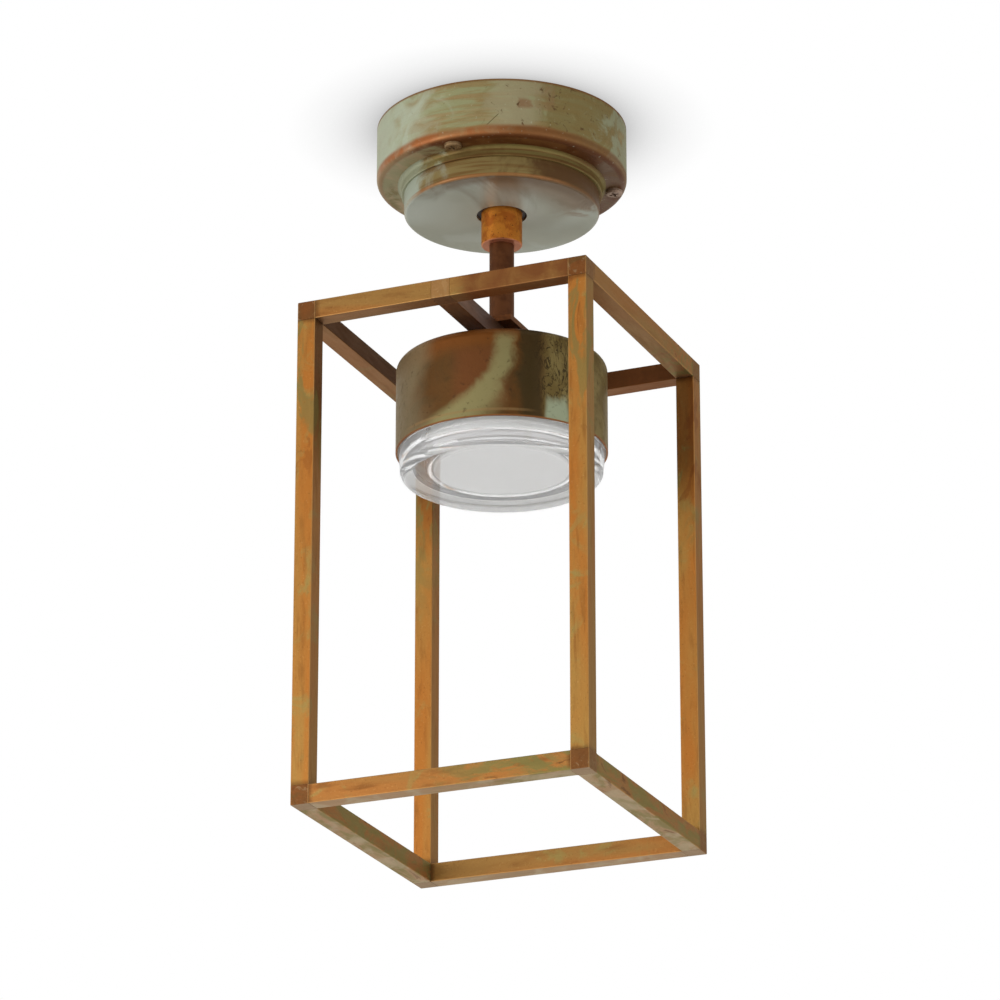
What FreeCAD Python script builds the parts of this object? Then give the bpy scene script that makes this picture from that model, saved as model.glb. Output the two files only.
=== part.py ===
import FreeCAD, Part
import math
import os

# Porch ceiling lantern: a stepped canopy, a short swivelling stem, an open cage of
# square tube, and a round lamp head with a thick pressed glass.
# Millimetres. The origin is the centre of the canopy's rim, on the ceiling; +Z is up.
# The cage's square sides lie along X and Y, and its crossbar runs along Y.

os.makedirs("parts", exist_ok=True)
Vector = FreeCAD.Vector

# ---- Ceiling plate and canopy -------------------------------------------------------
canopy_radius = 66.0
canopy_height = 32.0
canopy_wall = 1.2
canopy_edge = 3.5
ring_inset = 13.0
ring_height = 5.5
ring_flare = 2.0
ring_flare_edge = 0.2
ring_ledge = 5.0
ring_edge = 0.5
cap_inset = 1.5
cap_height = 11.0
cap_edge = 1.75
cap_hole_gap = 2.5

gasket_thickness = 2.0
gasket_width = 14.3
plate_thickness = 2.0
plate_gap = 0.5
slot_margin = 5.0
slot_length = 20.0
slot_width = 5.0
pillar_radius = 3.5
pillar_chamfer = 1.0
pillar_inset = 6.4
pillar_bore_spare = 1.0
canopy_screw_count = 3
canopy_screw_radius = 2.0
canopy_screw_head = 4.5
canopy_screw_head_height = 2.0
canopy_screw_recess = 2.5
canopy_screw_depth = 12.0
canopy_screw_clearance = 0.4
first_screw_angle = -92.0

grommet_offset = 24.0
grommet_bore = 4.0
grommet_radius = 8.0
grommet_lip = 2.0
grommet_lip_height = 1.5
earth_screw_sink = 0.3

terminal_margin = 16.0
terminal_length = 28.0
terminal_width = 16.0
terminal_foot = 4.7
terminal_ways = 3
terminal_hole = 2.6
terminal_screw_radius = 1.7
terminal_screw_height = 3.0
terminal_screw_sink = 0.5
terminal_screw_slot = 0.6
earth_place = (-19.0, 17.0)

# ---- Collar and swivel --------------------------------------------------------------
carrier_thickness = 3.0
carrier_gap = 0.5
collar_wall = 4.15
collar_drop = 17.5
collar_edge = 0.6
collar_neck_wall = 1.4
nut_wall = 3.0
collar_nut_height = 4.0
neck_stand = 0.5
washer_overhang = 1.8
washer_thickness = 1.0
stop_washer_width = 3.0
stop_tab_reach = 17.0
stop_tab_width = 3.0
stop_lug_radius = 1.5
stop_lug_angle = 90.0
seal_depth = 1.5
seal_height = 2.0
seal_level = 4.0
running_clearance = 0.1
fit_clearance = 0.05
screw_head_roundness = 0.45
screw_recess_depth = 0.5
screw_recess_width = 0.25

# ---- Stem ---------------------------------------------------------------------------
stem_radius = 6.5
stem_wall = 1.5
stem_drop = 50.0
stem_nut_height = 4.0
stem_tip = 3.3
foot_width = 25.0
foot_length = 35.0
foot_thickness = 3.0

# ---- Cage ---------------------------------------------------------------------------
tube = 10.0
tube_wall = 1.0
tube_edge = 0.5
seam_chamfer = 0.2
cage_width = 160.0
cage_height = 270.0
spigot_length = 8.0

# ---- Lamp head ----------------------------------------------------------------------
nipple_wall = 1.35
nipple_stand = 2.0
spacer_radius = 9.0
spacer_height = 8.0
head_wall = 1.0
head_edge = 4.5
holder_plate_thickness = 1.5
holder_plate_gap = 6.0
head_nut_wall = 2.55
head_nut_height = 6.0
holder_radius = 37.0
holder_height = 14.0
holder_foot = 7.5
holder_foot_radius = 4.5
holder_cavity = 10.0
holder_floor = 4.0
holder_screw_offset = 17.0
holder_screw_radius = 1.5
holder_screw_head = 3.0
holder_screw_head_height = 2.2
holder_screw_recess = 1.6
holder_screw_sink = 4.5
holder_screw_gap = 0.2
lamp_pin_spacing = 53.0
lamp_pin_radius = 2.5
lamp_pin_height = 6.0
lamp_pin_neck = 2.0
lamp_pin_root_radius = 1.5
lamp_pin_root_depth = 3.0
lamp_turn = 15.0
lamp_radius = 37.5
lamp_body_height = 22.5
lamp_base_inset = 4.5
lamp_base_height = 8.0
lamp_edge = 1.5
diffuser_inset = 1.5
diffuser_height = 3.0
diffuser_edge = 1.2
loose_clearance = 0.3

# ---- Glass --------------------------------------------------------------------------
lamp_gap = 2.0
diffuser_gap = 1.2
glass_neck_wall = 6.5
glass_ledge = 7.7
glass_gap = 0.3
glass_taper = 1.4
glass_edge = 4.5
glass_drop = 14.0
glass_shoulder = 2.5
glass_neck_height = 9.0
glass_floor = 12.0
glass_cavity_edge = 5.0
lens_gasket_thickness = 1.0
lens_gasket_inset = 1.3
thread_ring_height = 10.0

# ---- Leads --------------------------------------------------------------------------
lead_radius = 2.3
lead_gap = 0.3
lead_bend = 12.0

# ---- Radii worked out from the sizes above ------------------------------------------
plate_radius = canopy_radius - canopy_wall - plate_gap
plate_pad_radius = plate_radius - gasket_width
plate_pad_bore = plate_pad_radius - plate_thickness
slot_spacing = 2 * (plate_pad_radius - slot_margin) - slot_length
terminal_offset = plate_pad_bore - terminal_margin
pillar_circle = canopy_radius - pillar_inset
ring_radius = canopy_radius - ring_inset
cap_radius = ring_radius - cap_inset
ring_bore = cap_radius - ring_ledge
carrier_radius = ring_bore - carrier_gap
collar_bore = stem_radius + running_clearance
collar_radius = collar_bore + collar_wall
collar_neck_radius = collar_bore + collar_neck_wall
collar_nut_flats = 2 * (collar_neck_radius + nut_wall)
cap_hole = collar_radius + cap_hole_gap
washer_radius = collar_neck_radius + washer_overhang
stop_washer_radius = stem_radius + stop_washer_width
stop_lug_circle = stop_tab_reach - stop_lug_radius
stem_nut_flats = 2 * (stem_radius + nut_wall)
nipple_bore = lead_radius + lead_gap
nipple_radius = nipple_bore + nipple_wall
head_nut_flats = 2 * (nipple_radius + head_nut_wall)
lamp_pin_circle = lamp_pin_spacing / 2
lamp_base_radius = lamp_radius - lamp_base_inset
diffuser_radius = lamp_radius - diffuser_inset
glass_cavity = lamp_radius + lamp_gap
glass_neck_radius = glass_cavity + glass_neck_wall
glass_radius = glass_neck_radius + glass_ledge
glass_low_radius = glass_radius - glass_taper
thread_bore = glass_neck_radius + running_clearance
head_bore = glass_radius + glass_gap
head_radius = head_bore + head_wall
holder_plate_radius = head_bore - holder_plate_gap

# ---- Levels worked out from the sizes above -----------------------------------------
pad_low = -plate_thickness
flange_top = -gasket_thickness
flange_low = flange_top - plate_thickness
canopy_low = -canopy_height
canopy_floor = canopy_low + canopy_wall
ring_low = canopy_low - ring_height
cap_low = ring_low - cap_height
cap_floor = cap_low + canopy_wall
carrier_top = cap_floor + carrier_thickness
collar_low = cap_low - collar_drop
collar_nut_top = carrier_top + collar_nut_height
neck_top = collar_nut_top + neck_stand
washer_top = neck_top + washer_thickness
stop_washer_top = washer_top + washer_thickness
stem_nuts_top = stop_washer_top + 2 * stem_nut_height
stem_top = stem_nuts_top + stem_tip
cage_top = collar_low - stem_drop
cage_low = cage_top - cage_height
foot_top = cage_top + foot_thickness
crossbar_low = cage_top - tube
head_top = crossbar_low - spacer_height
head_ceiling = head_top - head_wall
holder_plate_low = head_ceiling - holder_plate_thickness
head_nut_low = holder_plate_low - head_nut_height
nipple_low = head_nut_low - nipple_stand
holder_top = holder_plate_low - holder_foot
holder_low = holder_top - holder_height
holder_screw_seat = holder_low + holder_screw_sink
lamp_top = holder_low - loose_clearance
lamp_low = lamp_top - lamp_body_height
diffuser_low = lamp_low - diffuser_height
glass_floor_level = diffuser_low - diffuser_gap
glass_low = glass_floor_level - glass_floor
rim_low = glass_low + glass_drop
glass_shoulder_level = rim_low + glass_shoulder
thread_ring_low = glass_shoulder_level + lens_gasket_thickness
thread_ring_top = thread_ring_low + thread_ring_height
lead_joint = stem_top + stem_tip
lead_level = lead_joint + lead_bend
terminal_low = lead_level - terminal_foot


# ---- Shapes used more than once -----------------------------------------------------
def save(shape, name):
    """Write one sub-part and print its size."""
    if not shape.isValid():
        raise ValueError(name + " is not a valid solid")
    shape.exportStep("parts/" + name + ".step")
    print("%-24s %2d solid(s) %12.1f mm3" % (name, len(shape.Solids), shape.Volume))


def cylinder(radius, low, high, x=0.0, y=0.0):
    return Part.makeCylinder(radius, high - low, Vector(x, y, low))


def pipe(outer, inner, low, high, x=0.0, y=0.0):
    return cylinder(outer, low, high, x, y).cut(cylinder(inner, low, high, x, y))


def block(x_range, y_range, z_range):
    size = [high - low for low, high in (x_range, y_range, z_range)]
    return Part.makeBox(*size, Vector(x_range[0], y_range[0], z_range[0]))


def around(radius, degrees):
    angle = math.radians(degrees)
    return radius * math.cos(angle), radius * math.sin(angle)


def hexagon(flats, low, high, bore):
    corner = flats / math.sqrt(3)
    points = [Vector(*around(corner, 60 * side), low) for side in range(6)]
    prism = Part.Face(Part.makePolygon(points + points[:1])).extrude(Vector(0, 0, high - low))
    return prism.cut(cylinder(bore, low, high))


def circles_at(shape, level, radius):
    """The circular edges of a turned shape at one level and radius."""
    found = []
    for edge in shape.Edges:
        curve = edge.Curve
        if isinstance(curve, Part.Circle) and abs(curve.Radius - radius) < 0.01:
            if abs(curve.Center.z - level) < 0.01 and abs(curve.Axis.z) > 0.99:
                found.append(edge)
    return found


def rounded_disc(radius, low, high, low_edge=0.0, high_edge=0.0):
    disc = cylinder(radius, low, high)
    if low_edge:
        disc = disc.makeFillet(low_edge, circles_at(disc, low, radius))
    if high_edge:
        disc = disc.makeFillet(high_edge, circles_at(disc, high, radius))
    return disc


def pan_screw(radius, head_radius, head_height, seat, tip, recess, x=0.0, y=0.0):
    """A screw with its head under the seat, its shank going up, and a cross recess."""
    low = seat - head_height
    screw = rounded_disc(head_radius, low, seat, low_edge=head_height * screw_head_roundness)
    screw = screw.fuse(cylinder(radius, seat, tip))
    deep = low + head_height * screw_recess_depth
    narrow = recess * screw_recess_width
    for half_x, half_y in ((recess, narrow), (narrow, recess)):
        screw = screw.cut(block((-half_x, half_x), (-half_y, half_y), (low, deep)))
    screw = screw.removeSplitter()
    screw.translate(Vector(x, y, 0))
    return screw


def group(shapes):
    return Part.makeCompound(shapes)


# ---- Ceiling plate and what sits on it ----------------------------------------------
def ceiling_slots(low, high):
    """Two slots along X for the ceiling screws."""
    shapes = []
    end = slot_width / 2
    reach = slot_length / 2 - end
    for middle in (-slot_spacing / 2, slot_spacing / 2):
        slot = block((middle - reach, middle + reach), (-end, end), (low, high))
        for side in (-reach, reach):
            slot = slot.fuse(cylinder(end, low, high, middle + side))
        shapes.append(slot.removeSplitter())
    return shapes


def screw_places():
    step = 360.0 / canopy_screw_count
    return [around(pillar_circle, first_screw_angle + step * turn) for turn in range(canopy_screw_count)]


def ceiling_gasket():
    """A flat rubber ring round the plate's raised pad, pressed against the ceiling."""
    return pipe(plate_radius, plate_pad_radius, flange_top, 0.0)


def ceiling_plate():
    """A dished plate: its pad lies on the ceiling and its flange carries the pillars."""
    plate = cylinder(plate_radius, flange_low, flange_top).fuse(cylinder(plate_pad_radius, flange_low, 0.0))
    plate = plate.cut(cylinder(plate_pad_bore, flange_low, pad_low))
    for slot in ceiling_slots(pad_low, 0.0):
        plate = plate.cut(slot)
    plate = plate.cut(cylinder(grommet_radius, pad_low, 0.0, 0, grommet_offset))
    return plate.cut(cylinder(canopy_screw_radius, pad_low, 0.0, *earth_place)).removeSplitter()


def plate_pillars():
    """Threaded pillars that stand between the ceiling plate and the canopy's floor."""
    pillars = []
    bore_top = canopy_floor + canopy_screw_depth + pillar_bore_spare
    for x, y in screw_places():
        pillar = cylinder(pillar_radius, canopy_floor, flange_low)
        pillar = pillar.makeChamfer(pillar_chamfer, circles_at(pillar, canopy_floor, pillar_radius))
        pillar = pillar.cut(cylinder(canopy_screw_radius + fit_clearance, canopy_floor, bore_top))
        pillar.translate(Vector(x, y, 0))
        pillars.append(pillar)
    return group(pillars)


def cable_grommet():
    """A rubber sleeve pressed into the plate's cable hole, with a lip under the sheet."""
    lip_low = pad_low - grommet_lip_height
    sleeve = cylinder(grommet_radius, pad_low, 0.0, 0, grommet_offset)
    sleeve = sleeve.fuse(cylinder(grommet_radius + grommet_lip, lip_low, pad_low, 0, grommet_offset))
    return sleeve.cut(cylinder(grommet_bore, lip_low, 0.0, 0, grommet_offset)).removeSplitter()


def terminal_places():
    pitch = terminal_length / terminal_ways
    first = -terminal_length / 2 + pitch / 2
    return [first + pitch * way for way in range(terminal_ways)]


def terminal_block():
    near = -terminal_offset - terminal_width / 2
    far = -terminal_offset + terminal_width / 2
    half = terminal_length / 2
    body = block((-half, half), (near, far), (terminal_low, pad_low))
    for x in terminal_places():
        start = Vector(x, near, lead_level)
        wire_way = Part.makeCylinder(terminal_hole, far - near, start, Vector(0, 1, 0))
        body = body.cut(wire_way)
        for side in (-1, 1):
            y = -terminal_offset + side * terminal_width / 4
            body = body.cut(cylinder(terminal_screw_radius + fit_clearance, terminal_low, lead_level, x, y))
    return body


def terminal_screws():
    foot = terminal_low + terminal_screw_sink
    screws = []
    for x in terminal_places():
        for side in (-1, 1):
            y = -terminal_offset + side * terminal_width / 4
            screw = cylinder(terminal_screw_radius, foot, foot + terminal_screw_height, x, y)
            half = terminal_screw_slot / 2
            slot = block((x - terminal_screw_radius, x + terminal_screw_radius), (y - half, y + half),
                         (foot, foot + terminal_screw_slot))
            screws.append(screw.cut(slot))
    return group(screws)


def earth_screw():
    x, y = earth_place
    return pan_screw(canopy_screw_radius - fit_clearance, canopy_screw_head, canopy_screw_head_height,
                     pad_low, -earth_screw_sink, canopy_screw_recess, x, y)


def canopy_lead():
    """The lead from the middle terminal, bent down into the top of the stem."""
    start = Vector(0, -terminal_offset + terminal_width / 2, lead_level)
    bend_start = Vector(0, -lead_bend, lead_level)
    middle = around(lead_bend, 45.0)
    bend_middle = Vector(0, middle[1] - lead_bend, lead_joint + middle[0])
    bend_end = Vector(0, 0, lead_joint)
    bend = Part.Arc(bend_start, bend_middle, bend_end).toShape()
    path = Part.Wire([Part.makeLine(start, bend_start), bend])
    section = Part.Wire([Part.makeCircle(lead_radius, start, Vector(0, 1, 0))])
    return path.makePipeShell([section], True, False)


# ---- Canopy -------------------------------------------------------------------------
def canopy_cup():
    cup = rounded_disc(canopy_radius, canopy_low, 0.0, low_edge=canopy_edge)
    inner_edge = canopy_edge - canopy_wall
    hollow = rounded_disc(canopy_radius - canopy_wall, canopy_floor, 0.0, low_edge=inner_edge)
    cup = cup.cut(hollow).cut(cylinder(ring_bore, canopy_low, canopy_floor))
    hole = canopy_screw_radius + canopy_screw_clearance
    for x, y in screw_places():
        cup = cup.cut(cylinder(hole, canopy_low, canopy_floor, x, y))
    return cup


def canopy_ring():
    """The flat step under the cup, with a small hollow flare where it meets the cup."""
    ring = rounded_disc(ring_radius, ring_low, canopy_low, low_edge=ring_edge)
    flare_radius = ring_radius + ring_flare
    flare_low = canopy_low - ring_flare_edge - ring_flare
    flare = cylinder(flare_radius, flare_low, canopy_low)
    flare = flare.cut(Part.makeTorus(flare_radius, ring_flare, Vector(0, 0, flare_low)))
    return ring.fuse(flare).cut(cylinder(ring_bore, ring_low, canopy_low)).removeSplitter()


def canopy_cap():
    cap = rounded_disc(cap_radius, cap_low, ring_low, low_edge=cap_edge)
    hollow = rounded_disc(cap_radius - canopy_wall, cap_floor, ring_low, low_edge=cap_edge - canopy_wall)
    return cap.cut(hollow).cut(cylinder(cap_hole, cap_low, cap_floor))


def canopy_screws():
    shank = canopy_screw_radius
    return group([pan_screw(shank, canopy_screw_head, canopy_screw_head_height, canopy_low,
                            canopy_floor + canopy_screw_depth, canopy_screw_recess, x, y)
                  for x, y in screw_places()])


def carrier_disc():
    """The stiff disc in the cap that carries the collar, with the swivel's stop lug."""
    disc = pipe(carrier_radius, collar_neck_radius + running_clearance, cap_floor, carrier_top)
    x, y = around(stop_lug_circle, stop_lug_angle)
    lug_top = stop_washer_top - fit_clearance
    return disc.fuse(cylinder(stop_lug_radius, carrier_top, lug_top, x, y)).removeSplitter()


# ---- Collar and swivel --------------------------------------------------------------
def collar():
    body = cylinder(collar_radius, collar_low, cap_floor)
    body = body.makeChamfer(collar_edge, circles_at(body, collar_low, collar_radius))
    body = body.fuse(cylinder(collar_neck_radius, cap_floor, neck_top))
    body = body.cut(cylinder(collar_bore, collar_low, neck_top))
    groove_low = collar_low + seal_level
    groove = cylinder(collar_bore + seal_depth, groove_low, groove_low + seal_height)
    return body.cut(groove).removeSplitter()


def stem_seal():
    """A rubber ring in the collar's groove, just clear of the turning stem."""
    thickness = (seal_depth - fit_clearance) / 2
    middle = collar_bore - fit_clearance / 2 + thickness
    level = collar_low + seal_level + seal_height / 2
    return Part.makeTorus(middle, thickness - fit_clearance / 2, Vector(0, 0, level))


def collar_nut():
    return hexagon(collar_nut_flats, carrier_top, collar_nut_top, collar_neck_radius + fit_clearance)


def swivel_washer():
    return pipe(washer_radius, collar_bore, neck_top, washer_top)


def stop_washer():
    """A tabbed washer that turns with the stem; its tab meets the stop lug."""
    ring = cylinder(stop_washer_radius, washer_top, stop_washer_top)
    half = stop_tab_width / 2
    tab = block((-half, half), (-stop_tab_reach, 0), (washer_top, stop_washer_top))
    washer = ring.fuse(tab).cut(cylinder(stem_radius + fit_clearance, washer_top, stop_washer_top))
    return washer.removeSplitter()


def stem_nuts():
    bore = stem_radius + fit_clearance
    middle = stop_washer_top + stem_nut_height
    return group([hexagon(stem_nut_flats, stop_washer_top, middle, bore),
                  hexagon(stem_nut_flats, middle, stem_nuts_top, bore)])


# ---- Stem ---------------------------------------------------------------------------
def stem_tube():
    return pipe(stem_radius, stem_radius - stem_wall, foot_top, stem_top)


def stem_foot_plate():
    half_x = foot_width / 2
    half_y = foot_length / 2
    plate = block((-half_x, half_x), (-half_y, half_y), (cage_top, foot_top))
    return plate.cut(cylinder(nipple_radius + fit_clearance, cage_top, foot_top))


def stem_lead():
    """The straight part of the lead, down the stem and nipple to the lampholder."""
    return cylinder(lead_radius, holder_low + holder_floor, lead_joint)


# ---- Cage ---------------------------------------------------------------------------
def long_edges(shape, direction):
    return [edge for edge in shape.Edges if abs(edge.tangentAt(edge.FirstParameter).dot(direction)) > 0.99]


def square_tube(direction, start, end, across):
    """A square tube along one axis, from start to end, with its middle line at across.

    direction is 0, 1 or 2 for X, Y or Z, and across is the place on the other two axes.
    The outer long edges are rounded, and both ends have a small chamfer at the seams.
    """
    length = end - start
    half = tube / 2
    outer = Part.makeBox(tube, tube, length, Vector(-half, -half, 0))
    outer = outer.makeFillet(tube_edge, long_edges(outer, Vector(0, 0, 1)))
    ends = []
    for edge in outer.Edges:
        levels = [vertex.Point.z for vertex in edge.Vertexes]
        if max(levels) - min(levels) < 0.001:
            ends.append(edge)
    outer = outer.makeChamfer(seam_chamfer, ends)
    bore = tube - 2 * tube_wall
    body = outer.cut(Part.makeBox(bore, bore, length, Vector(-bore / 2, -bore / 2, 0)))
    if direction == 0:
        body.rotate(Vector(0, 0, 0), Vector(0, 1, 0), 90)
        body.translate(Vector(start, across[0], across[1]))
    elif direction == 1:
        body.rotate(Vector(0, 0, 0), Vector(1, 0, 0), -90)
        body.translate(Vector(across[0], start, across[1]))
    else:
        body.translate(Vector(across[0], across[1], start))
    return body


def spigot(centre, direction):
    """The square peg on a corner piece that fits inside a tube."""
    half = tube / 2 - tube_wall - fit_clearance
    low = [value - half for value in centre]
    size = [2 * half] * 3
    axis = [index for index in range(3) if direction[index]][0]
    size[axis] = spigot_length
    if direction[axis] > 0:
        low[axis] = centre[axis] + tube / 2
    else:
        low[axis] = centre[axis] - tube / 2 - spigot_length
    return Part.makeBox(*size, Vector(*low))


def corner_block(x_side, y_side, z_side):
    """A solid cube at a corner of the cage, with a peg into each of its three tubes."""
    reach = (cage_width - tube) / 2
    level = (cage_top + cage_low) / 2 + z_side * (cage_height - tube) / 2
    centre = (x_side * reach, y_side * reach, level)
    half = tube / 2
    cube = Part.makeBox(tube, tube, tube, Vector(*[value - half for value in centre]))
    corner = Vector(*[value + side * half for value, side in zip(centre, (x_side, y_side, z_side))])
    outer_edges = [edge for edge in cube.Edges
                   if min(vertex.Point.distanceToPoint(corner) for vertex in edge.Vertexes) < 0.001]
    cube = cube.makeFillet(tube_edge, outer_edges)
    for direction in ((-x_side, 0, 0), (0, -y_side, 0), (0, 0, -z_side)):
        cube = cube.fuse(spigot(centre, direction))
    return cube.removeSplitter()


def tee_block(y_side):
    """A solid cube in the middle of a top bar, with pegs for both halves and the crossbar."""
    centre = (0.0, y_side * (cage_width - tube) / 2, cage_top - tube / 2)
    half = tube / 2
    cube = Part.makeBox(tube, tube, tube, Vector(*[value - half for value in centre]))
    outer_y = centre[1] + y_side * half
    outer_edges = [edge for edge in cube.Edges
                   if all(abs(vertex.Point.y - outer_y) < 0.001 for vertex in edge.Vertexes)
                   and abs(edge.tangentAt(edge.FirstParameter).x) > 0.99]
    cube = cube.makeFillet(tube_edge, outer_edges)
    for direction in ((-1, 0, 0), (1, 0, 0), (0, -y_side, 0)):
        cube = cube.fuse(spigot(centre, direction))
    return cube.removeSplitter()


def crossbar():
    """The tube under the stem's foot, with a hole down through both walls."""
    reach = cage_width / 2 - tube
    bar = square_tube(1, -reach, reach, (0.0, cage_top - tube / 2))
    return bar.cut(cylinder(nipple_radius + fit_clearance, crossbar_low, cage_top))


def save_cage():
    reach = (cage_width - tube) / 2
    inner = cage_width / 2 - tube
    top_level = cage_top - tube / 2
    low_level = cage_low + tube / 2
    sides = {"left": -1, "right": 1}
    ends = {"front": -1, "rear": 1}
    for x_name, x_side in sides.items():
        for y_name, y_side in ends.items():
            place = y_name + "_" + x_name
            save(square_tube(2, cage_low + tube, cage_top - tube, (x_side * reach, y_side * reach)),
                 "upright_" + place)
            save(corner_block(x_side, y_side, 1), "top_corner_" + place)
            save(corner_block(x_side, y_side, -1), "bottom_corner_" + place)
            near, far = sorted((x_side * tube / 2, x_side * inner))
            save(square_tube(0, near, far, (y_side * reach, top_level)), "top_bar_" + place)
    for y_name, y_side in ends.items():
        save(tee_block(y_side), "tee_block_" + y_name)
        save(square_tube(0, -inner, inner, (y_side * reach, low_level)), "bottom_bar_" + y_name)
    for x_name, x_side in sides.items():
        save(square_tube(1, -inner, inner, (x_side * reach, top_level)), "top_bar_" + x_name)
        save(square_tube(1, -inner, inner, (x_side * reach, low_level)), "bottom_bar_" + x_name)
    save(crossbar(), "crossbar")


# ---- Lamp head ----------------------------------------------------------------------
def head_nipple():
    """The hollow threaded rod that ties the head to the crossbar and foot plate."""
    return pipe(nipple_radius, nipple_bore, nipple_low, foot_top + nipple_stand)


def head_spacer():
    return pipe(spacer_radius, nipple_radius + fit_clearance, head_top, crossbar_low)


def head_housing():
    shell = rounded_disc(head_radius, rim_low, head_top, high_edge=head_edge)
    hollow = rounded_disc(head_bore, rim_low, head_ceiling, high_edge=head_edge - head_wall)
    return shell.cut(hollow).cut(cylinder(nipple_radius + fit_clearance, head_ceiling, head_top))


def holder_plate():
    low = holder_plate_low
    plate = pipe(holder_plate_radius, nipple_radius + fit_clearance, low, head_ceiling)
    for side in (-1, 1):
        plate = plate.cut(cylinder(holder_screw_radius + fit_clearance, low, head_ceiling,
                                   side * holder_screw_offset))
    return plate


def head_nut():
    return hexagon(head_nut_flats, head_nut_low, holder_plate_low, nipple_radius + fit_clearance)


def pin_slot(side):
    """The curved slot in the lampholder along which one lamp pin turns."""
    low = holder_low
    high = holder_low + lamp_pin_height + loose_clearance
    half = lamp_pin_radius + loose_clearance
    start = side * 90.0
    slot = cylinder(half, low, high, *around(lamp_pin_circle, start))
    slot = slot.fuse(cylinder(half, low, high, *around(lamp_pin_circle, start - lamp_turn)))
    band = Part.makeCylinder(lamp_pin_circle + half, high - low, Vector(0, 0, low), Vector(0, 0, 1),
                             lamp_turn)
    band = band.cut(cylinder(lamp_pin_circle - half, low, high))
    band.rotate(Vector(0, 0, 0), Vector(0, 0, 1), start - lamp_turn)
    return slot.fuse(band).removeSplitter()


def lampholder():
    """The lamp socket: a disc on two feet, with a curved slot for each lamp pin."""
    body = cylinder(holder_radius, holder_low, holder_top)
    for side in (-1, 1):
        x = side * holder_screw_offset
        body = body.fuse(cylinder(holder_foot_radius, holder_top, holder_plate_low, x))
        body = body.cut(cylinder(holder_screw_radius + fit_clearance, holder_low, holder_plate_low, x))
        body = body.cut(cylinder(holder_screw_head + fit_clearance, holder_low, holder_screw_seat, x))
        body = body.cut(pin_slot(side))
    return body.cut(cylinder(holder_cavity, holder_low + holder_floor, holder_top)).removeSplitter()


def holder_screws():
    tip = head_ceiling - holder_screw_gap
    return group([pan_screw(holder_screw_radius, holder_screw_head, holder_screw_head_height,
                            holder_screw_seat, tip, holder_screw_recess, side * holder_screw_offset)
                  for side in (-1, 1)])


def lamp_body():
    """The lamp's housing: a narrow base under the holder and a wide finned rim below."""
    base_low = lamp_top - lamp_base_height
    body = cylinder(lamp_base_radius, base_low, lamp_top)
    wide = rounded_disc(lamp_radius, lamp_low, base_low, low_edge=lamp_edge, high_edge=lamp_edge)
    body = body.fuse(wide)
    for side in (-1, 1):
        x, y = around(lamp_pin_circle, side * 90.0)
        body = body.cut(cylinder(lamp_pin_root_radius, lamp_top - lamp_pin_root_depth, lamp_top, x, y))
    return body.removeSplitter()


def lamp_pins():
    """The two contact pins, each with a thin root in the lamp and a round head."""
    pins = []
    for side in (-1, 1):
        x, y = around(lamp_pin_circle, side * 90.0)
        neck_end = lamp_top + lamp_pin_neck
        root = cylinder(lamp_pin_root_radius, lamp_top - lamp_pin_root_depth, neck_end, x, y)
        head = cylinder(lamp_pin_radius, neck_end, lamp_top + lamp_pin_height, x, y)
        pins.append(root.fuse(head).removeSplitter())
    return group(pins)


def lamp_diffuser():
    return rounded_disc(diffuser_radius, diffuser_low, lamp_low, low_edge=diffuser_edge)


# ---- Glass --------------------------------------------------------------------------
def thread_ring():
    """The ring fixed in the housing that the neck of the glass screws into."""
    return pipe(head_bore, thread_bore, thread_ring_low, thread_ring_top)


def lens_gasket():
    return pipe(glass_radius - lens_gasket_inset, thread_bore, glass_shoulder_level, thread_ring_low)


def glass_lens():
    """Thick pressed glass with a slight taper, a rounded lower edge and a screw neck."""
    height = glass_shoulder_level - glass_low
    body = Part.makeCone(glass_low_radius, glass_radius, height, Vector(0, 0, glass_low))
    body = body.makeFillet(glass_edge, circles_at(body, glass_low, glass_low_radius))
    neck_top_level = glass_shoulder_level + glass_neck_height
    body = body.fuse(cylinder(glass_neck_radius, glass_shoulder_level, neck_top_level))
    cavity = rounded_disc(glass_cavity, glass_floor_level, neck_top_level, low_edge=glass_cavity_edge)
    return body.cut(cavity).removeSplitter()


# ---- Write every sub-part -----------------------------------------------------------
for part in (ceiling_gasket, ceiling_plate, plate_pillars, cable_grommet, terminal_block, terminal_screws,
             earth_screw, canopy_lead, canopy_cup, canopy_ring, canopy_cap, canopy_screws, carrier_disc,
             collar, stem_seal, collar_nut, swivel_washer, stop_washer, stem_nuts, stem_tube,
             stem_foot_plate, stem_lead, head_nipple, head_spacer, head_housing, holder_plate, head_nut,
             lampholder, holder_screws, lamp_body, lamp_pins, lamp_diffuser, thread_ring, lens_gasket,
             glass_lens):
    save(part(), part.__name__)
save_cage()
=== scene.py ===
import math

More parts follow.
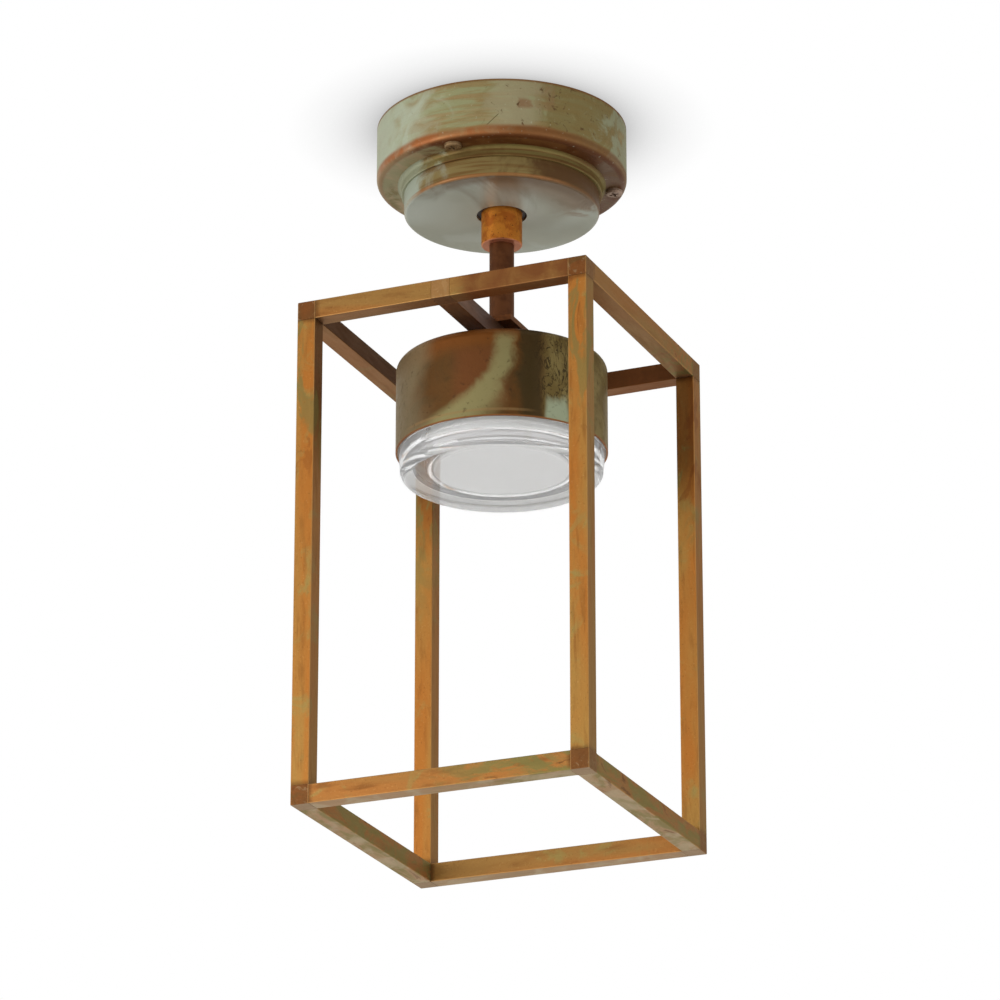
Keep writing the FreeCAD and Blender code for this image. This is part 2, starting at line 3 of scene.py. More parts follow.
import bmesh
import bpy
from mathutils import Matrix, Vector

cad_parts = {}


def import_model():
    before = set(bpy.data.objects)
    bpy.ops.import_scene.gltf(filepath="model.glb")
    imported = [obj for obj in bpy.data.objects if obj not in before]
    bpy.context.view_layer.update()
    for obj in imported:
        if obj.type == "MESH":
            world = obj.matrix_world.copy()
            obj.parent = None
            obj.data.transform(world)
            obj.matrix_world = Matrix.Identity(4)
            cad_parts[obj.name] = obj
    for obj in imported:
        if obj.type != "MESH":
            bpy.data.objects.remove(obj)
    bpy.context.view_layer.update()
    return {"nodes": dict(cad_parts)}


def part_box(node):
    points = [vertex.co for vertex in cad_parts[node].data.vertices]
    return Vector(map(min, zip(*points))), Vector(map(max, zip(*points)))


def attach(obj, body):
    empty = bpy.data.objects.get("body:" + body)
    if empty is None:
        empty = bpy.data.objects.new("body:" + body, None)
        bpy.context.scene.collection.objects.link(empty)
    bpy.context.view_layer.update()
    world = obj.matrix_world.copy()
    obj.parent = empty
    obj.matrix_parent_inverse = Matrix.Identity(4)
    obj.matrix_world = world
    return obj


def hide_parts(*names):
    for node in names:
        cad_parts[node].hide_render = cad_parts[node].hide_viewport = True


# Porch ceiling lantern: aged brass and patina on the metal, thick clear glass round a disc lamp.
# Metres, +Z up, with the ceiling at z = 0. The pieces and their edges come from the frame's boxes.
# The marks on them are placed here, in degrees round the Z axis and in millimetres.

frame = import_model()
nodes = frame["nodes"]

MM = 0.001

# ---- Camera, light and stage --------------------------------------------------------
camera_place = Vector((0.9538, -2.2423, -1.1266))
camera_direction = Vector((-0.36661, 0.86096, 0.35262))
camera_lens = 181.85
camera_sensor = 36.0
camera_far = 50.0

world_for_diffuse = 0.62
key_place = (-1.5, -1.7, -0.6)
key_size = 1.2
key_power = 26.0
fill_place = (1.9, -0.6, -0.7)
fill_size = 1.4
fill_power = 9.0

ceiling_reach = 3.0
ceiling_gap = 0.0003
ceiling_steps = 96
ceiling_overlap = 2 * MM
ceiling_tone = (0.8, 0.8, 0.8, 1.0)
ceiling_roughness = 0.9
# The halo is a painted shadow on the ceiling round the canopy.
halo_distance = 0.05
halo_rays = 16
halo_openness = (0.5, 0.98)
halo_shade = (0.55, 1.0)

# ---- Materials: what they share -----------------------------------------------------
white = (1.0, 1.0, 1.0, 1.0)
brown_grazing = (0.72, 0.56, 0.4, 1.0)
along_x, along_y, along_z = 0, 1, 2

# The colour sockets of the Mix node, whose names are also those of its other sockets.
mix_first = 6
mix_second = 7
mix_result = 2


def srgb(red, green, blue):
    """A colour written as 0-255 display values, as the linear colour that the shader takes."""
    def linear(value):
        value /= 255.0
        if value <= 0.04045:
            return value / 12.92
        return ((value + 0.055) / 1.055) ** 2.4
    return (linear(red), linear(green), linear(blue), 1.0)


class Finish:
    """One procedural material, with short helpers that add nodes to it."""

    def __init__(self, name):
        self.material = bpy.data.materials.new(name)
        self.material.use_nodes = True
        self.tree = self.material.node_tree
        self.shader = self.tree.nodes["Principled BSDF"]
        coordinates = self.add("ShaderNodeTexCoord")
        self.place = coordinates.outputs["Object"]
        self.normal = coordinates.outputs["Normal"]
        self.x, self.y, self.z = self.split(self.place)

    def add(self, kind):
        return self.tree.nodes.new(kind)

    def link(self, source, socket):
        self.tree.links.new(source, socket)

    def put(self, value, socket):
        """Connects a socket, or writes a plain value."""
        if isinstance(value, bpy.types.NodeSocket):
            self.link(value, socket)
        else:
            socket.default_value = value

    def split(self, vector):
        """The three parts of a vector."""
        node = self.add("ShaderNodeSeparateXYZ")
        self.link(vector, node.inputs[0])
        return node.outputs

    # Arithmetic.
    def calc(self, operation, first, second=0.0, clamp=False):
        node = self.add("ShaderNodeMath")
        node.operation = operation
        node.use_clamp = clamp
        self.put(first, node.inputs[0])
        self.put(second, node.inputs[1])
        return node.outputs[0]

    def plus(self, first, second):
        return self.calc("ADD", first, second)

    def minus(self, first, second):
        return self.calc("SUBTRACT", first, second)

    def times(self, *values):
        result = values[0]
        for value in values[1:]:
            result = self.calc("MULTIPLY", result, value)
        return result

    def highest(self, *values):
        result = values[0]
        for value in values[1:]:
            result = self.calc("MAXIMUM", result, value)
        return result

    def apart(self, value, middle):
        """How far a value is from middle, on either side."""
        return self.calc("ABSOLUTE", self.minus(value, middle))

    def step(self, value, low, high, start=0.0, end=1.0):
        """A smooth step from start to end as value goes from low to high."""
        node = self.add("ShaderNodeMapRange")
        node.interpolation_type = "SMOOTHSTEP"
        self.put(value, node.inputs["Value"])
        for name, number in (("From Min", low), ("From Max", high), ("To Min", start), ("To Max", end)):
            node.inputs[name].default_value = number
        return node.outputs["Result"]

    def band(self, value, middle, half_width, softness):
        """1 where value is within half_width of middle, fading over softness."""
        return self.step(self.apart(value, middle), half_width + softness, half_width)

    # Patterns. A noise pattern runs from 0 to 1 and is mostly between 0.3 and 0.7.
    def stretch(self, vector, scale):
        """A place whose patterns are drawn out along the axes with a scale below 1."""
        node = self.add("ShaderNodeMapping")
        self.link(vector, node.inputs["Vector"])
        node.inputs["Scale"].default_value = scale
        return node.outputs[0]

    def noise(self, vector, scale, detail=4.0, roughness=0.6, distortion=0.0):
        node = self.add("ShaderNodeTexNoise")
        self.link(vector, node.inputs["Vector"])
        node.inputs["Scale"].default_value = scale
        node.inputs["Detail"].default_value = detail
        node.inputs["Roughness"].default_value = roughness
        node.inputs["Distortion"].default_value = distortion
        return node.outputs["Fac"]

    def swing(self, pattern, reach):
        """A pattern as a value that goes up to half of reach to either side of 0."""
        return self.times(self.minus(pattern, 0.5), reach)

    def spread(self, pattern, low, high):
        """A pattern as a value that runs from low to high."""
        return self.step(pattern, 0.3, 0.7, low, high)

    # Where a point lies.
    def radius(self):
        return self.calc("SQRT", self.plus(self.times(self.x, self.x), self.times(self.y, self.y)))

    def angle(self):
        """Degrees round the Z axis, from the right: -90 is the front."""
        return self.times(self.calc("ARCTAN2", self.y, self.x), 180.0 / math.pi)

    def toward(self, degrees):
        """How far a point lies towards a direction round the Z axis: 1 on it, -1 opposite."""
        turn = math.radians(degrees)
        along = self.plus(self.times(self.x, math.cos(turn)), self.times(self.y, math.sin(turn)))
        return self.calc("DIVIDE", along, self.radius())

    def sector(self, degrees, half_width, softness, wander=None):
        """1 within half_width degrees of a direction round the axis, fading over softness degrees."""
        value = self.toward(degrees)
        if wander is not None:
            value = self.plus(value, wander)
        faded = math.cos(math.radians(half_width + softness))
        return self.step(value, faded, math.cos(math.radians(half_width)))

    def facing(self):
        """The object's own normal, as three values."""
        return self.split(self.normal)

    def outward(self):
        """Above 0 on faces that look away from the Z axis, below 0 on those that look at it."""
        normal_x, normal_y, _ = self.facing()
        return self.plus(self.times(normal_x, self.x), self.times(normal_y, self.y))

    # Colours. A tone is three values from 0 to 255, or the socket of another colour.
    def mix(self, factor, first, second):
        node = self.add("ShaderNodeMix")
        node.data_type = "RGBA"
        self.put(factor, node.inputs["Factor"])
        self.put(first, node.inputs[mix_first])
        self.put(second, node.inputs[mix_second])
        return node.outputs[mix_result]

    def two_tone(self, factor, first, second):
        return self.mix(factor, srgb(*first), srgb(*second))

    def paint(self, colour, tone, *masks):
        """Lays a tone over a colour, as strongly as the product of the masks says."""
        if not isinstance(tone, bpy.types.NodeSocket):
            tone = srgb(*tone)
        return self.mix(self.times(*masks), colour, tone)

    def zones(self, colour, *rows):
        """Paints uneven zones round the axis: tone, middle, half width and softness, strength."""
        for tone, degrees, half_width, softness, strength in rows:
            zone = self.sector(degrees, half_width, softness, self.wander)
            colour = self.paint(colour, tone, zone, strength)
        return colour

    # The shader.
    def bump(self, *heights):
        """Adds bumps, each a height pattern with its depth in metres."""
        previous = None
        for height, depth in heights:
            node = self.add("ShaderNodeBump")
            node.inputs["Distance"].default_value = depth
            self.link(height, node.inputs["Height"])
            if previous is not None:
                self.link(previous, node.inputs["Normal"])
            previous = node.outputs[0]
        self.link(previous, self.shader.inputs["Normal"])

    def surface(self, colour, roughness, metallic=0.0, coat=0.0, coat_roughness=0.3, specular=0.5,
                grazing=white):
        for name, value in (("Base Color", colour), ("Roughness", roughness), ("Metallic", metallic),
                            ("Specular IOR Level", specular), ("Specular Tint", grazing),
                            ("Coat Weight", coat), ("Coat Roughness", coat_roughness)):
            self.put(value, self.shader.inputs[name])
        return self.material


def dress(node, material):
    """Gives a CAD node's object one material."""
    piece = nodes[node]
    piece.data.materials.clear()
    piece.data.materials.append(material)


# ---- Materials: the cage ------------------------------------------------------------
post_low, post_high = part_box("upright_front_right")
cage_reach = (post_low.x + post_high.x) / 2
cage_half_tube = (post_high.x - post_low.x) / 2
cage_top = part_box("top_bar_left")[1].z
cage_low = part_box("bottom_bar_left")[0].z
cage_middle = (cage_top + cage_low) / 2
cage_level_reach = (cage_top - cage_low) / 2 - cage_half_tube
cage_bar_zone = 30 * MM
grain_stretch = 0.16
moss_stretch = 0.35

brass_warm = (172, 108, 44)
brass_olive = (164, 122, 60)
brass_dark = (128, 80, 32)
brass_straw = (148, 132, 74)
pit_brown = (78, 44, 18)
bright_fleck = (206, 166, 104)
seam_brown = (84, 48, 20)
block_brown = (108, 66, 34)
rubbed_corner = (196, 166, 122)
worn_edge_and_highlight = (196, 150, 92)
side_face_shade = (124, 96, 62)
underside_shade_high = (112, 84, 60)
underside_light_low = (158, 138, 112)
inward_top_shade = (74, 40, 16)
mottle_olive = (122, 112, 62)
mottle_rust = (108, 54, 22)
right_top_shade_brown = (116, 68, 34)
moss_olive = (118, 112, 62)
moss_brown = (92, 62, 32)
underside_pale_light = (176, 160, 132)
lichen_olive = (112, 108, 62)
lichen_and_shade_brown = (70, 40, 18)


def drawn_out(along, scale):
    """A scale for stretch that draws patterns out along one axis."""
    return [scale if axis == along else 1.0 for axis in range(3)]


def cage_layers(name, along, block):
    """A finish with what the cage's brasses share: their patterns, and masks for parts of it."""
    f = Finish(name)
    grain = f.stretch(f.place, drawn_out(along, 1.0 if block else grain_stretch))
    f.broad = f.noise(grain, 46.0, detail=3.0, roughness=0.5, distortion=0.4)
    f.cloud = f.noise(f.place, 52.0, distortion=0.8)
    f.fine = f.noise(grain, 260.0, detail=5.0, distortion=0.3)
    f.speck = f.noise(f.place, 800.0, detail=3.0)
    # How far a point lies, along each axis, from the middle of the tube nearest to it.
    f.folds = [f.apart(f.apart(value, middle), reach)
               for value, middle, reach in ((f.x, 0.0, cage_reach), (f.y, 0.0, cage_reach),
                                            (f.z, cage_middle, cage_level_reach))]
    f.high_part = f.step(f.z, cage_middle, cage_top - cage_bar_zone)
    f.low_part = f.step(f.z, cage_middle, cage_low + cage_bar_zone)
    f.side, _, upward = f.facing()
    f.under = f.step(upward, -0.6, -0.95)
    return f


def cage_skin(f, warm, olive, dark):
    """Brass in two tones, with straw clouds, darker grain, pits and bright flecks."""
    colour = f.two_tone(f.step(f.broad, 0.4, 0.62), warm, olive)
    colour = f.paint(colour, brass_straw, f.step(f.cloud, 0.54, 0.7, end=0.75))
    colour = f.paint(colour, dark, f.step(f.fine, 0.5, 0.75, end=0.55))
    colour = f.paint(colour, pit_brown, f.step(f.speck, 0.6, 0.72, end=0.45))
    return f.paint(colour, bright_fleck, f.step(f.speck, 0.4, 0.3, end=0.25))


def bar_seams(f, colour, along):
    """Dark ends where a bar meets its blocks."""
    past_end = f.plus(f.minus(f.folds[along], cage_half_tube), f.swing(f.cloud, 5 * MM))
    return f.paint(colour, seam_brown, f.step(past_end, 3.2 * MM, 0.2 * MM), 0.6)


def block_seams(f, colour):
    """A darker block, rubbed pale near its corners and dark at its seams."""
    outermost = f.highest(*f.folds)
    colour = f.paint(colour, block_brown, f.step(f.cloud, 0.52, 0.68, end=0.55))
    patches = f.step(f.noise(f.place, 190.0, distortion=1.2), 0.55, 0.62)
    near_corner = f.step(outermost, cage_half_tube - 2.6 * MM, cage_half_tube - 0.8 * MM)
    colour = f.paint(colour, rubbed_corner, patches, near_corner, 0.6)
    uneven = f.plus(outermost, f.times(f.swing(f.cloud, 5 * MM), 0.25))
    seam = f.step(uneven, cage_half_tube - 1.3 * MM, cage_half_tube - 0.2 * MM)
    return f.paint(colour, seam_brown, seam, 0.6)


def cage_faces(f, colour, along, shade_strength):
    """Pale edges, and painted shade and light: darker side faces, undersides darker high up and paler low
    down, and darker inward faces near the top.
    """
    across = [f.folds[axis] for axis in range(3) if axis != along]
    edge = f.plus(f.calc("MINIMUM", *across), f.times(f.fine, 0.6 * MM))
    # Pale edge lines: partly wear, partly a painted highlight along the edges.
    worn = f.step(edge, cage_half_tube - 0.35 * MM, cage_half_tube + 0.1 * MM)
    colour = f.paint(colour, worn_edge_and_highlight, worn, 0.45)
    # Painted shade: faces that look along X are darkened, as less light falls on them.
    colour = f.paint(colour, side_face_shade, f.step(f.calc("ABSOLUTE", f.side), 0.6, 0.9), 0.55)
    # Painted shade and light on the undersides: darker on the high bars above the head, paler on the low
    # bars, as if lit from below.
    colour = f.paint(colour, f.two_tone(f.low_part, underside_shade_high, underside_light_low), f.under, 0.7)
    # Painted shade: faces that look in towards the axis are darkened near the top, under the canopy.
    inward = f.step(f.outward(), -0.02, -0.06)
    near_top = f.step(f.z, cage_top - 95 * MM, cage_top - 45 * MM)
    return f.paint(colour, inward_top_shade, f.times(inward, near_top), shade_strength)


def upright_mottle(f, colour):
    """Olive and rust on the upper part of the uprights."""
    near_top = f.step(f.z, cage_top - 150 * MM, cage_top - 50 * MM)
    mottle = f.noise(f.stretch(f.place, (1.0, 1.0, 0.45)), 75.0, distortion=1.0)
    colour = f.paint(colour, mottle_olive, f.step(mottle, 0.52, 0.62), near_top, 0.7)
    return f.paint(colour, mottle_rust, f.step(mottle, 0.42, 0.36), near_top, 0.45)


def right_top_shade(f, colour):
    """Painted shade: a darker right half on the bars at the front and rear of the top."""
    right_top = f.times(f.step(f.x, 6 * MM, 18 * MM), f.high_part)
    return f.paint(colour, right_top_shade_brown, right_top, f.step(f.cloud, 0.3, 0.6, start=0.5, end=0.95))


def low_bar_moss(f, colour, along):
    """Olive and brown growth on the bars at the bottom, and pale painted light on their undersides."""
    moss = f.noise(f.stretch(f.place, drawn_out(along, moss_stretch)), 85.0,
                   detail=5.0, roughness=0.65, distortion=1.4)
    if along == along_x:
        place = f.step(f.minus(f.x, f.times(f.y, 0.9)), 40 * MM, 110 * MM)
    else:
        place = 0.9
    colour = f.paint(colour, moss_olive, f.step(moss, 0.44, 0.6), f.low_part, place, 0.85)
    colour = f.paint(colour, moss_brown, f.step(moss, 0.42, 0.36), f.low_part, place, 0.7)
    # Painted light: pale patches on the undersides of the low bars, as if lit from below.
    return f.paint(colour, underside_pale_light, f.low_part, f.under, f.step(f.cloud, 0.46, 0.6), 0.6)


def rear_top_lichen(f, colour):
    """Lichen towards the rear of the bars at the left and right of the top; its dark brown is partly painted
    shade.
    """
    rear_top = f.times(f.step(f.y, 10 * MM, 60 * MM), f.high_part)
    lichen = f.noise(f.place, 120.0, roughness=0.65, distortion=1.2)
    colour = f.paint(colour, lichen_olive, f.step(lichen, 0.48, 0.6), rear_top, 0.75)
    # Dark brown patches: partly lichen, partly painted shade at the rear of the top.
    return f.paint(colour, lichen_and_shade_brown, f.step(lichen, 0.4, 0.34), rear_top, 0.8)


def cage_brass(name, along, warm, olive, dark, block=False, shade_strength=0.9):
    """Aged brass on square tube along one axis, or on the blocks that join it."""
    f = cage_layers(name, along, block)
    colour = cage_skin(f, warm, olive, dark)
    if block:
        colour = block_seams(f, colour)
    else:
        colour = bar_seams(f, colour, along)
    colour = cage_faces(f, colour, along, shade_strength)
    if along == along_z and not block:
        colour = upright_mottle(f, colour)
    if along == along_x:
        colour = right_top_shade(f, colour)
    if along != along_z:
        colour = low_bar_moss(f, colour, along)
    if along == along_y:
        colour = rear_top_lichen(f, colour)
    f.bump((f.fine, 0.12 * MM), (f.speck, 0.04 * MM))
    return f.surface(colour, f.spread(f.fine, 0.4, 0.58), metallic=0.6, coat=0.04, coat_roughness=0.35,
                     specular=0.3, grazing=brown_grazing)


def crossbar_brass():
    """The crossbar: darker brass overall, with painted shade where it runs over the head."""
    f = Finish("crossbar_brass")
    grain = f.stretch(f.place, (1.0, 0.2, 1.0))
    broad = f.noise(grain, 60.0, distortion=0.4)
    fine = f.noise(grain, 260.0, detail=5.0, distortion=0.3)
    shade_over_head = f.step(f.calc("ABSOLUTE", f.y), 62 * MM, 34 * MM)
    colour = f.two_tone(f.step(broad, 0.4, 0.6), (122, 76, 38), (104, 70, 40))
    # Painted shade from the head below the crossbar.
    colour = f.paint(colour, (72, 38, 14), shade_over_head, 0.7)
    colour = f.paint(colour, (60, 32, 14), f.step(fine, 0.5, 0.75, end=0.5))
    f.bump((fine, 0.1 * MM))
    return f.surface(colour, f.spread(fine, 0.42, 0.56), metallic=0.6, coat=0.06, coat_roughness=0.35)


def dress_cage():
    across = cage_brass("cage_brass_across", along_x, (166, 108, 52), (154, 114, 60), (116, 70, 30))
    deep = cage_brass("cage_brass_deep", along_y, brass_warm, brass_olive, brass_dark)
    upright = cage_brass("cage_brass_upright", along_z, brass_warm, brass_olive, brass_dark, shade_strength=0.55)
    block = cage_brass("cage_brass_block", along_z, (160, 98, 48), (140, 94, 50), (108, 64, 32), block=True)
    crossbar = crossbar_brass()
    for name in nodes:
        if "corner" in name or name.startswith("tee_block"):
            dress(name, block)
        elif name.startswith("upright"):
            dress(name, upright)
        elif name == "crossbar":
            dress(name, crossbar)
        elif name in ("top_bar_left", "top_bar_right", "bottom_bar_left", "bottom_bar_right"):
            dress(name, deep)
        elif name.startswith(("top_bar", "bottom_bar")):
            dress(name, across)


# ---- Materials: the canopy ----------------------------------------------------------
canopy_edge = 3.5 * MM

patina_tan = (144, 124, 82)
patina_green = (148, 148, 108)
patina_pale = (176, 184, 162)
patina_olive = (122, 106, 62)
copper = (150, 90, 48)
canopy_dark = (84, 46, 18)


def canopy_layers(name):
    """A finish with what the canopy's patinas share: streaks round it, cloud, grain and specks."""
    f = Finish(name)
    f.streaks = f.noise(f.stretch(f.place, (1.0, 1.0, 8.0)), 36.0, detail=5.0, roughness=0.55, distortion=0.2)
    f.lines = f.noise(f.stretch(f.place, (1.0, 1.0, 26.0)), 20.0, detail=3.0, roughness=0.5)
    f.cloud = f.noise(f.place, 42.0, detail=5.0, distortion=0.7)
    f.large = f.noise(f.place, 17.0, detail=2.0, roughness=0.5, distortion=0.4)
    f.grain = f.noise(f.place, 420.0)
    f.wander = f.swing(f.noise(f.place, 60.0, distortion=0.9), 1.1)
    return f


def cup_side(f):
    """Streaked tan and green, with zones of other patina round the cup."""
    colour = f.two_tone(f.step(f.streaks, 0.4, 0.62), patina_tan, patina_green)
    colour = f.paint(colour, (160, 140, 100), f.step(f.lines, 0.5, 0.66, end=0.5))
    colour = f.paint(colour, (126, 100, 58), f.step(f.cloud, 0.56, 0.7, end=0.55))
    colour = f.zones(colour, (patina_olive, -25, 24, 26, 0.8), (patina_pale, -160, 24, 46, 0.85),
                     ((150, 156, 128), 24, 14, 22, 0.7), ((158, 162, 132), 120, 34, 30, 0.7))
    return f.paint(colour, (164, 156, 124), f.sector(-60, 4, 12, f.times(f.wander, 0.1)), 0.65)


def cup_marks(f, colour):
    """A stain, a blot, rust specks and one slanting scratch on the side."""
    stain = f.times(f.sector(-47, 4, 1.5), f.band(f.z, -9 * MM, 6 * MM, 2 * MM))
    colour = f.paint(colour, (142, 108, 80), stain, f.step(f.cloud, 0.4, 0.6), 0.5)
    blot_width = f.sector(-56, 1.6, 2.6, f.times(f.wander, 0.012))
    blot_height = f.band(f.z, -13.5 * MM, 1.2 * MM, 2.6 * MM)
    colour = f.paint(colour, (126, 80, 50), blot_width, blot_height, 0.6)
    rust = f.step(f.noise(f.place, 240.0, detail=3.0, distortion=0.6), 0.6, 0.7)
    colour = f.paint(colour, (84, 58, 34), f.sector(-30, 34, 16), rust, 0.8)
    slope = f.minus(f.z, f.times(f.plus(f.angle(), 71.0), 1.15 * MM))
    line = f.band(slope, -23 * MM, 0.14 * MM, 0.25 * MM)
    scratch = f.times(line, f.band(f.z, -23 * MM, 2.6 * MM, 0.8 * MM))
    return f.paint(colour, (78, 62, 34), scratch, f.sector(-71, 6, 2), 0.85)


def cup_rolled_edge(f, colour, low):
    """Copper that shows where the side rolls over into the underside, and painted shade along the lowest rim.
    """
    level = f.plus(f.z, f.swing(f.large, 5 * MM))
    rolled = f.step(level, low.z + 6.4 * MM, low.z + 3.6 * MM)
    fading = f.plus(0.36, f.times(f.sector(-92, 32, 40), 0.64))
    fading = f.times(fading, f.step(f.cloud, 0.3, 0.56, start=0.55))
    colour = f.paint(colour, copper, rolled, fading)
    colour = f.paint(colour, (104, 70, 36), rolled, f.sector(-20, 34, 24), 0.7)
    # Painted shade along the lowest rim, lighter towards the left.
    shaded = f.two_tone(f.sector(-172, 40, 34, f.wander), canopy_dark, (128, 104, 72))
    return f.paint(colour, shaded, f.step(f.z, low.z + 2.2 * MM, low.z + 0.4 * MM))


def cup_underside(f):
    """Dark brown, pale at the left."""
    pale_left = f.two_tone(f.step(f.cloud, 0.42, 0.6), (164, 142, 108), (144, 140, 104))
    colour = f.two_tone(f.step(f.cloud, 0.46, 0.62), canopy_dark, (104, 66, 32))
    return f.zones(colour, (pale_left, -176, 62, 24, 0.9), ((104, 84, 58), 26, 14, 26, 0.5),
                   ((120, 106, 66), 150, 34, 20, f.step(f.cloud, 0.42, 0.6)))


def canopy_cup_patina():
    low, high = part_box("canopy_cup")
    flat = high.x - canopy_edge
    f = canopy_layers("canopy_cup_patina")
    colour = cup_marks(f, cup_side(f))
    colour = cup_rolled_edge(f, colour, low)
    colour = f.paint(colour, cup_underside(f), f.step(f.z, low.z + 0.4 * MM, low.z + 0.1 * MM),
                     f.step(f.radius(), flat + 1.2 * MM, flat - 0.6 * MM))
    colour = f.paint(colour, (120, 80, 44), f.step(f.z, -1.6 * MM, -0.5 * MM), 0.85)
    colour = f.paint(colour, (90, 66, 38), f.step(f.grain, 0.64, 0.76, end=0.4))
    colour = f.paint(colour, (190, 192, 166), f.step(f.grain, 0.36, 0.26, end=0.35))
    f.bump((f.cloud, 0.4 * MM), (f.lines, 0.1 * MM), (f.grain, 0.07 * MM))
    return f.surface(colour, f.spread(f.cloud, 0.38, 0.56), metallic=0.3, coat=0.05,
                     specular=0.25, grazing=brown_grazing)


def canopy_ring_patina():
    f = canopy_layers("canopy_ring_patina")
    colour = f.two_tone(f.step(f.lines, 0.42, 0.6), (118, 104, 60), (104, 78, 42))
    colour = f.paint(colour, (88, 62, 30), f.step(f.cloud, 0.5, 0.66, end=0.5))
    colour = f.zones(colour, ((150, 156, 132), -160, 34, 24, 0.85))
    f.bump((f.lines, 0.1 * MM), (f.grain, 0.06 * MM))
    return f.surface(colour, 0.5, metallic=0.35, coat=0.03, specular=0.2, grazing=brown_grazing)


def cap_side(f):
    colour = f.two_tone(f.step(f.lines, 0.42, 0.6), (130, 112, 68), (112, 84, 44))
    return f.zones(colour, ((84, 56, 28), -14, 32, 24, 0.9), ((164, 174, 158), -156, 20, 34, 0.9))


def cap_disc(f, rim):
    """The pale marbled underside, brown towards the right and the near edge."""
    colour = f.two_tone(f.step(f.large, 0.4, 0.6), (172, 180, 168), (156, 160, 144))
    marble = f.noise(f.stretch(f.place, (1.0, 0.5, 1.0)), 30.0, roughness=0.5, distortion=1.2)
    near_right = f.step(f.plus(f.times(f.x, 0.45), f.times(f.y, -0.9)), -4 * MM, 18 * MM)
    colour = f.paint(colour, (104, 98, 76), f.step(marble, 0.46, 0.62), near_right, 0.45)
    colour = f.paint(colour, (170, 176, 164), f.step(marble, 0.6, 0.7), 0.5)
    brown = f.times(f.sector(-28, 34, 26, f.wander), f.step(f.radius(), 20 * MM, 44 * MM))
    colour = f.paint(colour, (120, 96, 68), brown, 0.75)
    near_edge = f.times(f.sector(-52, 50, 22, f.wander), f.step(f.radius(), rim - 12 * MM, rim - 4 * MM))
    return f.paint(colour, (98, 78, 54), near_edge, 0.7)


def canopy_cap_patina():
    low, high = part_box("canopy_cap")
    f = canopy_layers("canopy_cap_patina")
    colour = f.mix(f.step(f.z, low.z + 0.9 * MM, low.z + 0.2 * MM), cap_side(f), cap_disc(f, high.x))
    copper_line = f.times(f.band(f.z, low.z + 1.1 * MM, 0.5 * MM, 0.7 * MM),
                          f.plus(0.25, f.times(f.sector(-80, 36, 26), 0.75)),
                          f.step(f.cloud, 0.3, 0.6, start=0.4))
    colour = f.paint(colour, (140, 92, 50), copper_line, 0.8)
    f.bump((f.large, 0.6 * MM), (f.lines, 0.06 * MM), (f.grain, 0.02 * MM))
    return f.surface(colour, f.spread(f.cloud, 0.34, 0.46), metallic=0.25, coat=0.1, coat_roughness=0.25,
                     specular=0.25, grazing=brown_grazing)


def dress_canopy():
    dress("canopy_cup", canopy_cup_patina())
    dress("canopy_ring", canopy_ring_patina())
    dress("canopy_cap", canopy_cap_patina())


# ---- Materials: the head ------------------------------------------------------------
head_inside = (206, 204, 198)
streak_green_and_highlight = (146, 140, 94)


def head_layers(name):
    """The head's patterns, and drift, the unevenly shifted angle round it in degrees."""
    f = Finish(name)
    f.cloud = f.noise(f.place, 60.0, detail=5.0, distortion=0.8)
    f.fine = f.noise(f.place, 300.0, detail=5.0, roughness=0.65, distortion=0.5)
    f.large = f.noise(f.place, 22.0, detail=2.0, roughness=0.5, distortion=0.5)
    f.wander = f.swing(f.large, 0.35)
    f.drift = f.plus(f.angle(), f.swing(f.cloud, 14.0))
    return f


def head_brown(f, top):
    """Brown metal, warmer along the top of the front."""
    colour = f.two_tone(f.step(f.cloud, 0.4, 0.64), (94, 62, 28), (82, 58, 28))
    warm_band = f.step(f.plus(f.z, f.swing(f.large, 14 * MM)), top - 17 * MM, top - 6 * MM)
    colour = f.paint(colour, (124, 72, 28), warm_band, f.sector(-95, 34, 18), 0.8)
    spot = f.sector(-79, 7, 12, f.times(f.wander, 0.1))
    return f.paint(colour, (112, 66, 34), spot, f.band(f.z, top - 27 * MM, 12 * MM, 8 * MM), 0.8)


def head_streak(f, colour, down):
    """A green streak, partly patina and partly painted highlight, that bends to the left as it runs down, and
    a dark stripe to its right.
    """
    bend = f.times(down, down, down)
    off_streak = f.calc("ABSOLUTE", f.plus(f.plus(f.drift, 65.0), f.times(bend, 32.0)))
    half_width = f.plus(f.times(bend, down, 18.0), 5.0)
    streak = f.times(f.step(f.calc("DIVIDE", off_streak, half_width), 1.5, 0.3),
                     f.step(down, 0.02, 0.16), f.step(f.large, 0.2, 0.44, start=0.5))
    # The green streak is partly patina and partly a painted highlight.
    colour = f.paint(colour, streak_green_and_highlight, streak, 0.82)
    stripe = f.times(f.step(f.drift, -61.0, -55.0), f.step(f.drift, -41.0, -48.0))
    return f.paint(colour, (64, 52, 28), stripe, 0.9)


